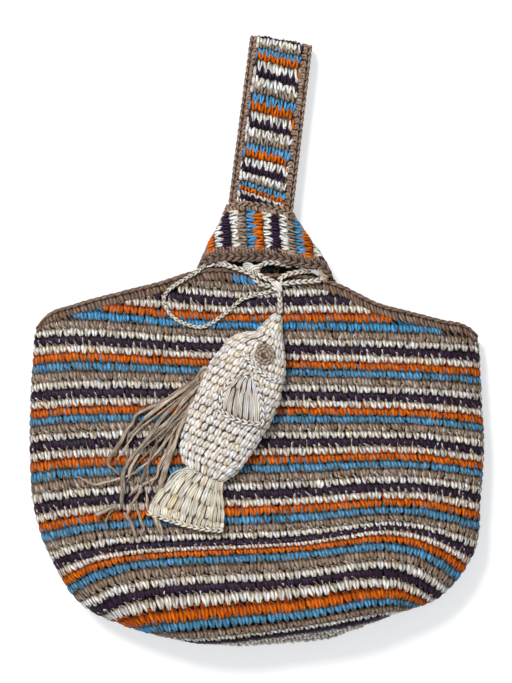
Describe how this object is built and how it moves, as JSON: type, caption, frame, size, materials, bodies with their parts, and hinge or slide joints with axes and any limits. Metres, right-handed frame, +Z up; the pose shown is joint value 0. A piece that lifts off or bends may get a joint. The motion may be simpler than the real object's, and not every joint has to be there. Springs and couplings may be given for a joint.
{
  "type": "raffia bucket bag",
  "caption": "Crocheted raffia bucket bag lying on its back, with a long folded handle through a short arched one and a stuffed fish charm tied below the mouth.",
  "frame": {"origin": "centre of the footprint, on the surface the bag lies on", "axes": "+X across the bag to the right, +Y from the folded base to the top of the long handle, +Z up, out of the bag's front"},
  "size_m": [0.3374, 0.4551, 0.0563],
  "materials": {
    "striped_raffia": "matte crocheted raffia in taupe, cream, aubergine, orange and blue rows",
    "edging_raffia": "matte taupe crocheted raffia",
    "cord_raffia": "matte cream raffia chain",
    "fish_raffia": "matte off-white crocheted raffia",
    "eye_raffia": "matte taupe crocheted raffia",
    "fringe_raffia": "dry flat raffia ribbon"
  },
  "bodies": {
    "bag": {"bag_body": "striped_raffia", "mouth_edging": "edging_raffia", "long_handle": "striped_raffia", "long_handle_edging_left": "edging_raffia", "long_handle_edging_right": "edging_raffia", "short_handle": "striped_raffia", "short_handle_edging_upper": "edging_raffia", "short_handle_edging_lower": "edging_raffia", "anchor_cord": "cord_raffia", "left_tie_cord": "cord_raffia", "right_tie_cord": "cord_raffia", "cross_tie_cord": "cord_raffia", "loop_cord": "cord_raffia", "tie_knot": "cord_raffia"},
    "charm_cord": {"charm_cord": "cord_raffia"},
    "fish_charm": {"fish_body": "fish_raffia", "fish_tail": "fish_raffia", "fish_eye": "eye_raffia", "fish_fin": "fish_raffia", "gill_line": "fish_raffia", "fringe_strand_01": "fringe_raffia", "fringe_strand_02": "fringe_raffia", "fringe_strand_03": "fringe_raffia", "fringe_strand_04": "fringe_raffia", "fringe_strand_05": "fringe_raffia", "fringe_strand_06": "fringe_raffia", "fringe_strand_07": "fringe_raffia"}
  },
  "joints": [
    {"name": "charm_swing", "type": "hinge", "parent": "bag", "child": "charm_cord", "pos_m": [0.0149, 0.0404, 0.03154], "axis": [0, 0.0973, 0.9953], "range_deg": [-15, 40]},
    {"name": "charm_lift", "type": "hinge", "parent": "charm_cord", "child": "fish_charm", "pos_m": [0.01629, 0.02032, 0.0333], "axis": [-0.9266, 0.3744, -0.0366], "range_deg": [0, 60]}
  ]
}
